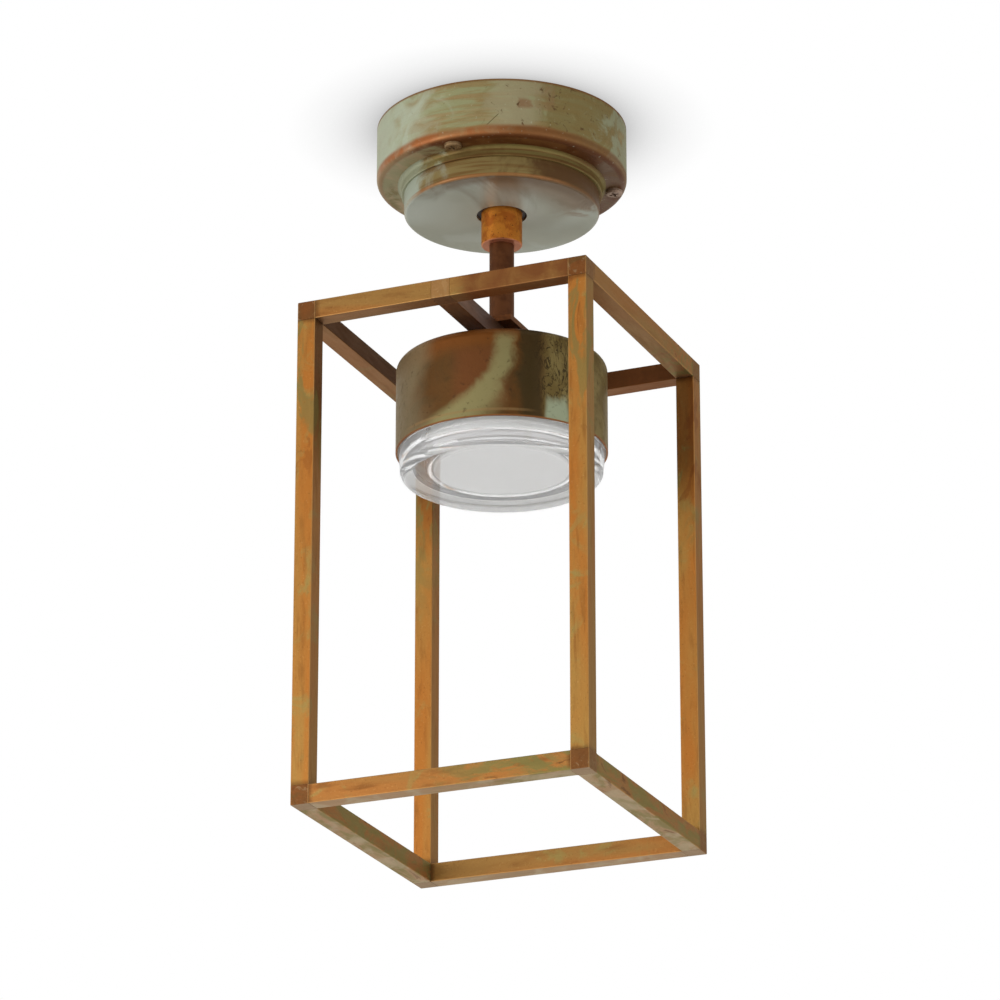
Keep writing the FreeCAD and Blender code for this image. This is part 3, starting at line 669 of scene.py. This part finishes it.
def head_crazing(f, colour, down, low):
    """The green zone at the right, with a dark crazed patch and a pale one under it."""
    cracks = f.noise(f.stretch(f.place, (1.0, 1.0, 0.6)), 95.0, detail=8.0, roughness=0.65, distortion=2.4)
    veins = f.step(f.apart(cracks, 0.5), 0.004, 0.04)
    crazed = f.times(f.step(f.drift, -50.0, -44.0), f.step(f.drift, -22.0, -30.0),
                     f.band(down, 0.42, 0.26, 0.2))
    green_zone = f.times(f.step(f.drift, -47.0, -40.0), f.step(f.drift, 30.0, 10.0))
    green = f.two_tone(f.step(f.cloud, 0.4, 0.62), (130, 116, 70), (108, 92, 50))
    colour = f.paint(colour, green, green_zone, 0.85)
    colour = f.paint(colour, (42, 32, 14), crazed, f.minus(1.0, veins), 0.95)
    level = f.plus(f.z, f.swing(f.cloud, 12 * MM))
    patch = f.sector(-35, 4, 4, f.times(f.wander, 0.06))
    return f.paint(colour, (156, 166, 138), patch, f.step(level, low.z + 15 * MM, low.z + 9 * MM), 0.9)


def head_wear(f, colour, low):
    """Green at the back, a painted sheen along the left edge, a scuff above the rim, a copper rim and dark
    specks.
    """
    # The pale zone at the left edge is a painted sheen.
    colour = f.zones(colour, ((122, 114, 74), 110, 50, 30, f.times(f.step(f.cloud, 0.38, 0.7), 0.55)),
                     ((140, 126, 94), -152, 22, 26, 0.7))
    scuff = f.band(f.z, low.z + 3.4 * MM, 0.3 * MM, 0.8 * MM)
    colour = f.paint(colour, (150, 118, 76), scuff, f.sector(-90, 30, 14), 0.5)
    colour = f.paint(colour, (138, 88, 48), f.step(f.z, low.z + 1.0 * MM, low.z + 0.2 * MM))
    return f.paint(colour, (56, 38, 20), f.step(f.fine, 0.56, 0.72, end=0.5))


def head_finish():
    """Brown patina outside, and a pale inside that lights the glass."""
    low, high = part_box("head_housing")
    f = head_layers("head_patina")
    down = f.calc("DIVIDE", f.minus(high.z, f.z), high.z - low.z, clamp=True)
    colour = head_streak(f, head_brown(f, high.z), down)
    colour = head_wear(f, head_crazing(f, colour, down, low), low)
    bore = f.step(f.outward(), -0.001, -0.01)
    upward = f.facing()[2]
    roof = f.times(f.step(upward, -0.4, -0.8), f.step(f.z, low.z + 4 * MM, low.z + 8 * MM))
    colour = f.paint(colour, head_inside, f.highest(bore, roof))
    f.bump((f.cloud, 0.3 * MM), (f.fine, 0.1 * MM))
    return f.surface(colour, f.spread(f.fine, 0.34, 0.5), metallic=0.4, coat=0.04, coat_roughness=0.25,
                     specular=0.25, grazing=brown_grazing)


# ---- Materials: small brass pieces, steel, rubber and plastic -----------------------
def collar_finish():
    """Bright orange brass with turning lines and dark specks."""
    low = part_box("collar")[0].z
    f = Finish("collar_brass")
    lines = f.noise(f.stretch(f.place, (1.0, 1.0, 30.0)), 120.0, detail=3.0, roughness=0.5)
    cloud = f.noise(f.place, 160.0, distortion=0.5)
    speck = f.noise(f.place, 700.0, detail=2.0, roughness=0.5)
    colour = f.two_tone(f.step(cloud, 0.4, 0.65), (206, 130, 48), (170, 94, 32))
    colour = f.paint(colour, (80, 40, 20), f.step(speck, 0.64, 0.72, end=0.8))
    colour = f.paint(colour, (182, 116, 86), f.step(f.z, low + 0.7 * MM, low + 0.1 * MM))
    f.bump((lines, 0.03 * MM), (speck, 0.03 * MM))
    return f.surface(colour, f.spread(cloud, 0.3, 0.42), metallic=0.6, coat=0.06, coat_roughness=0.15,
                     specular=0.3, grazing=brown_grazing)


def stem_finish(name, tone, second):
    """Dark bronze with grain along the stem."""
    f = Finish(name)
    long_grain = f.noise(f.stretch(f.place, (1.0, 1.0, 0.12)), 260.0, distortion=0.3)
    cloud = f.noise(f.place, 90.0, distortion=0.5)
    colour = f.two_tone(f.step(cloud, 0.4, 0.65), tone, second)
    colour = f.paint(colour, (58, 34, 20), f.step(long_grain, 0.5, 0.7, end=0.5))
    f.bump((long_grain, 0.04 * MM))
    return f.surface(colour, f.spread(cloud, 0.4, 0.52), metallic=0.55, coat=0.04,
                     specular=0.25, grazing=brown_grazing)


def screw_finish():
    """Dull brass at the left, pinker at the right."""
    f = Finish("screw_brass")
    cloud = f.noise(f.place, 260.0, distortion=0.4)
    mottle = f.step(cloud, 0.4, 0.6)
    dull = f.two_tone(mottle, (132, 106, 74), (100, 76, 48))
    pink = f.two_tone(mottle, (156, 134, 118), (118, 96, 80))
    f.bump((cloud, 0.04 * MM))
    return f.surface(f.mix(f.step(f.x, 10 * MM, 30 * MM), dull, pink), 0.45, metallic=0.4, coat=0.06,
                     coat_roughness=0.2, specular=0.3, grazing=brown_grazing)


def ring_finish():
    """The thread ring: bare pale metal, since no weather reaches it."""
    f = Finish("thread_ring_metal")
    cloud = f.noise(f.stretch(f.place, (1.0, 1.0, 20.0)), 80.0, detail=3.0, roughness=0.5)
    f.bump((cloud, 0.04 * MM))
    return f.surface(f.two_tone(cloud, (240, 238, 232), (228, 226, 218)), 0.35, metallic=0.15)


def steel_finish():
    f = Finish("zinc_steel")
    cloud = f.noise(f.place, 220.0, distortion=0.4)
    brushed = f.noise(f.stretch(f.place, (1.0, 12.0, 1.0)), 260.0, detail=3.0, roughness=0.5)
    colour = f.two_tone(f.step(cloud, 0.35, 0.65), (196, 198, 200), (170, 174, 178))
    f.bump((brushed, 0.03 * MM))
    return f.surface(colour, f.spread(cloud, 0.28, 0.42), metallic=1.0)


def plain_finish(name, tone, second, roughness, scale):
    """Moulded rubber or plastic, or dull metal, with a slight texture."""
    f = Finish(name)
    grain = f.noise(f.place, scale)
    f.bump((grain, 0.04 * MM))
    return f.surface(f.two_tone(f.step(grain, 0.35, 0.65), tone, second),
                     f.spread(grain, roughness, roughness + 0.12))


def dress_rest():
    """Dresses every node but those of the cage, the canopy and the glass."""
    rubber = plain_finish("rubber", (42, 42, 42), (30, 30, 31), 0.6, 500.0)
    seal = plain_finish("clear_seal", (250, 250, 248), (246, 246, 243), 0.5, 500.0)
    steel = steel_finish()
    # The carrier disc shows only through the gap round the collar; its near-black colour is painted shade in
    # that gap.
    gap_shade_steel = plain_finish("gap_shade_finish", (44, 36, 28), (34, 28, 22), 0.6, 300.0)
    plastic = plain_finish("white_plastic", (226, 226, 222), (214, 214, 209), 0.4, 400.0)
    sleeve = plain_finish("lead_sleeve", (206, 198, 180), (190, 182, 164), 0.7, 900.0)
    lamp = plain_finish("lamp_plastic", (232, 232, 230), (224, 224, 222), 0.35, 400.0)
    diffuser = plain_finish("lamp_diffuser", (250, 250, 249), (247, 247, 246), 0.45, 700.0)
    for slot_name, material, names in (
            ("rubber", rubber, ("ceiling_gasket", "cable_grommet", "stem_seal")),
            ("rubber", seal, ("lens_gasket",)),
            ("zinc_steel", steel, ("ceiling_plate", "plate_pillars", "terminal_screws", "earth_screw",
                                   "collar_nut", "swivel_washer", "stop_washer", "stem_nuts",
                                   "head_nipple", "head_nut", "holder_plate", "holder_screws")),
            ("zinc_steel", gap_shade_steel, ("carrier_disc",)),
            ("white_plastic", plastic, ("terminal_block", "lampholder")),
            ("lead_sleeve", sleeve, ("canopy_lead", "stem_lead")),
            ("lamp_plastic", lamp, ("lamp_body",)),
            ("lamp_diffuser", diffuser, ("lamp_diffuser",)),
            ("screw_brass", screw_finish(), ("canopy_screws", "lamp_pins")),
            ("collar_brass", collar_finish(), ("collar",)),
            ("stem_bronze", stem_finish("stem_skin", (98, 58, 32), (82, 46, 24)), ("stem_tube",)),
            ("stem_bronze", stem_finish("foot_skin", (112, 66, 34), (92, 52, 26)), ("stem_foot_plate",)),
            ("stem_bronze", stem_finish("spacer_skin", (98, 64, 42), (80, 50, 32)), ("head_spacer",)),
            ("head_patina", head_finish(), ("head_housing",)),
            ("head_patina", ring_finish(), ("thread_ring",))):
        for name in names:
            dress(name, material)


# ---- The glass ----------------------------------------------------------------------
glass_ledge = 7.7 * MM
glass_neck_wall = 6.5 * MM
glass_taper = 1.4 * MM
glass_edge = 4.5 * MM
glass_shoulder_edge = 0.8 * MM
glass_cavity_edge = 5.0 * MM
glass_floor = 12.0 * MM
glass_seal_gap = 0.12 * MM
glass_steps = 160
arc_steps = 8
arc_margin = 0.3 * MM
on_axis = 0.001 * MM


def glass_finish():
    """Clear glass, a little wavy and milky."""
    f = Finish("clear_glass")
    waves = f.noise(f.place, 22.0, detail=2.0, roughness=0.5)
    f.bump((waves, 0.2 * MM))
    f.shader.inputs["Transmission Weight"].default_value = 0.84
    f.shader.inputs["IOR"].default_value = 1.42
    return f.surface((0.995, 0.998, 0.995, 1.0), f.spread(waves, 0.03, 0.07))


def rounded(corners):
    """The points of a profile whose corners, each (radius, level, rounding), are turned by arcs."""
    points = [Vector(corners[0][:2])]
    for before, corner, after in zip(corners, corners[1:], corners[2:]):
        middle = Vector(corner[:2])
        rounding = corner[2]
        towards = (Vector(before[:2]) - middle).normalized()
        onwards = (Vector(after[:2]) - middle).normalized()
        half_turn = towards.angle(onwards) / 2
        reach = rounding / math.tan(half_turn)
        centre = middle + (towards + onwards).normalized() * rounding / math.sin(half_turn)
        start = middle + towards * reach
        end = middle + onwards * reach
        # A short straight next to each arc keeps the flat faces shaded flat.
        margin = min(arc_margin, rounding)
        points.append(start + towards * margin)
        for step in range(arc_steps + 1):
            spoke = (start - centre).slerp(end - centre, step / arc_steps)
            points.append(centre + spoke.normalized() * rounding)
        points.append(end + onwards * margin)
    points.append(Vector(corners[-1][:2]))
    return points


def turned(name, profile):
    """A solid of revolution round the Z axis, from a profile that starts and ends on the axis."""
    form = bmesh.new()
    rings = []
    for point in profile:
        if point.x < on_axis:
            rings.append([form.verts.new((0.0, 0.0, point.y))])
            continue
        ring = []
        for step in range(glass_steps):
            turn = 2 * math.pi * step / glass_steps
            ring.append(form.verts.new((point.x * math.cos(turn), point.x * math.sin(turn), point.y)))
        rings.append(ring)
    for first, second in zip(rings, rings[1:]):
        for step in range(glass_steps):
            following = (step + 1) % glass_steps
            if len(first) == 1:
                corners = (first[0], second[following], second[step])
            elif len(second) == 1:
                corners = (first[step], first[following], second[0])
            else:
                corners = (first[step], first[following], second[following], second[step])
            form.faces.new(corners)
    bmesh.ops.recalc_face_normals(form, faces=form.faces)
    for face in form.faces:
        face.smooth = True
    mesh = bpy.data.meshes.new(name)
    form.to_mesh(mesh)
    form.free()
    piece = bpy.data.objects.new(name, mesh)
    bpy.context.scene.collection.objects.link(piece)
    return piece


def pressed_glass():
    """The glass with every edge rounded, and a hair clear of its seal so that light passes between."""
    low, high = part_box("glass_lens")
    radius = high.x
    neck = radius - glass_ledge
    cavity = neck - glass_neck_wall
    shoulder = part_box("lens_gasket")[0].z - glass_seal_gap
    floor = low.z + glass_floor
    corners = [(0.0, low.z, 0.0),
               (radius - glass_taper, low.z, glass_edge),
               (radius, shoulder, glass_shoulder_edge),
               (neck, shoulder, glass_shoulder_edge),
               (neck, high.z, glass_shoulder_edge),
               (cavity, high.z, glass_shoulder_edge),
               (cavity, floor, glass_cavity_edge),
               (0.0, floor, 0.0)]
    piece = turned("pressed_glass", rounded(corners))
    piece.data.materials.append(glass_finish())
    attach(piece, "lens")
    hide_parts("glass_lens")


# ---- Stage --------------------------------------------------------------------------
def see_through_from_behind(tree, shader):
    """Shows a shader on a plane's front only, so that the plane hides nothing from behind."""
    geometry = tree.nodes.new("ShaderNodeNewGeometry")
    clear = tree.nodes.new("ShaderNodeBsdfTransparent")
    mix = tree.nodes.new("ShaderNodeMixShader")
    tree.links.new(geometry.outputs["Backfacing"], mix.inputs[0])
    tree.links.new(shader, mix.inputs[1])
    tree.links.new(clear.outputs[0], mix.inputs[2])
    tree.links.new(mix.outputs[0], tree.nodes["Material Output"].inputs[0])


def halo(tree):
    """White to the camera, with a painted shadow where the canopy is near."""
    near = tree.nodes.new("ShaderNodeAmbientOcclusion")
    near.samples = halo_rays
    near.inputs["Distance"].default_value = halo_distance
    shade = tree.nodes.new("ShaderNodeMapRange")
    tree.links.new(near.outputs["AO"], shade.inputs["Value"])
    shade.inputs["From Min"].default_value, shade.inputs["From Max"].default_value = halo_openness
    shade.inputs["To Min"].default_value, shade.inputs["To Max"].default_value = halo_shade
    glow = tree.nodes.new("ShaderNodeEmission")
    tree.links.new(shade.outputs[0], glow.inputs["Color"])
    return glow.outputs[0]


def ceiling_material():
    material = bpy.data.materials.new("ceiling_white")
    material.use_nodes = True
    tree = material.node_tree
    matt = tree.nodes["Principled BSDF"]
    matt.inputs["Base Color"].default_value = ceiling_tone
    matt.inputs["Roughness"].default_value = ceiling_roughness
    light_path = tree.nodes.new("ShaderNodeLightPath")
    choose = tree.nodes.new("ShaderNodeMixShader")
    tree.links.new(light_path.outputs["Is Camera Ray"], choose.inputs[0])
    tree.links.new(matt.outputs[0], choose.inputs[1])
    tree.links.new(halo(tree), choose.inputs[2])
    see_through_from_behind(tree, choose.outputs[0])
    return material


def ceiling():
    """A white ceiling, seen from below, with a hole that the canopy covers."""
    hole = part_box("ceiling_gasket")[1].x - ceiling_overlap
    points = []
    for radius in (hole, ceiling_reach):
        for step in range(ceiling_steps):
            turn = 2 * math.pi * step / ceiling_steps
            points.append((radius * math.cos(turn), radius * math.sin(turn), ceiling_gap))
    faces = []
    for step in range(ceiling_steps):
        following = (step + 1) % ceiling_steps
        faces.append((step, following, ceiling_steps + following, ceiling_steps + step))
    mesh = bpy.data.meshes.new("ceiling_board")
    mesh.from_pydata(points, [], faces)
    mesh.materials.append(ceiling_material())
    board = bpy.data.objects.new("ceiling_board", mesh)
    bpy.context.scene.collection.objects.link(board)


def world():
    """White to the camera and in gloss and glass, and dimmer as light on the object."""
    studio = bpy.data.worlds.new("studio")
    bpy.context.scene.world = studio
    studio.use_nodes = True
    tree = studio.node_tree
    light_path = tree.nodes.new("ShaderNodeLightPath")
    seen = light_path.outputs["Is Camera Ray"]
    for ray in ("Is Transmission Ray", "Is Glossy Ray"):
        either = tree.nodes.new("ShaderNodeMath")
        either.operation = "MAXIMUM"
        tree.links.new(seen, either.inputs[0])
        tree.links.new(light_path.outputs[ray], either.inputs[1])
        seen = either.outputs[0]
    strength = tree.nodes.new("ShaderNodeMapRange")
    strength.inputs["To Min"].default_value = world_for_diffuse
    tree.links.new(seen, strength.inputs["Value"])
    background = tree.nodes["Background"]
    background.inputs["Color"].default_value = white
    tree.links.new(strength.outputs[0], background.inputs["Strength"])


def area_light(name, place, size, power):
    """A square light that looks at the middle of the cage."""
    target = Vector((0.0, 0.0, cage_middle))
    light = bpy.data.lights.new(name, "AREA")
    light.shape = "SQUARE"
    light.size = size
    light.energy = power
    lamp = bpy.data.objects.new(name, light)
    bpy.context.scene.collection.objects.link(lamp)
    lamp.location = place
    lamp.rotation_euler = (target - Vector(place)).to_track_quat("-Z", "Y").to_euler()


def camera():
    data = bpy.data.cameras.new("camera")
    data.sensor_width = camera_sensor
    data.lens = camera_lens
    data.clip_end = camera_far
    eye = bpy.data.objects.new("camera", data)
    bpy.context.scene.collection.objects.link(eye)
    eye.location = camera_place
    eye.rotation_euler = camera_direction.to_track_quat("-Z", "Y").to_euler()
    bpy.context.scene.camera = eye


camera()
world()
area_light("key", key_place, key_size, key_power)
area_light("fill", fill_place, fill_size, fill_power)
ceiling()
dress_cage()
dress_canopy()
dress_rest()
pressed_glass()

bpy.context.scene.view_settings.view_transform = "Standard"
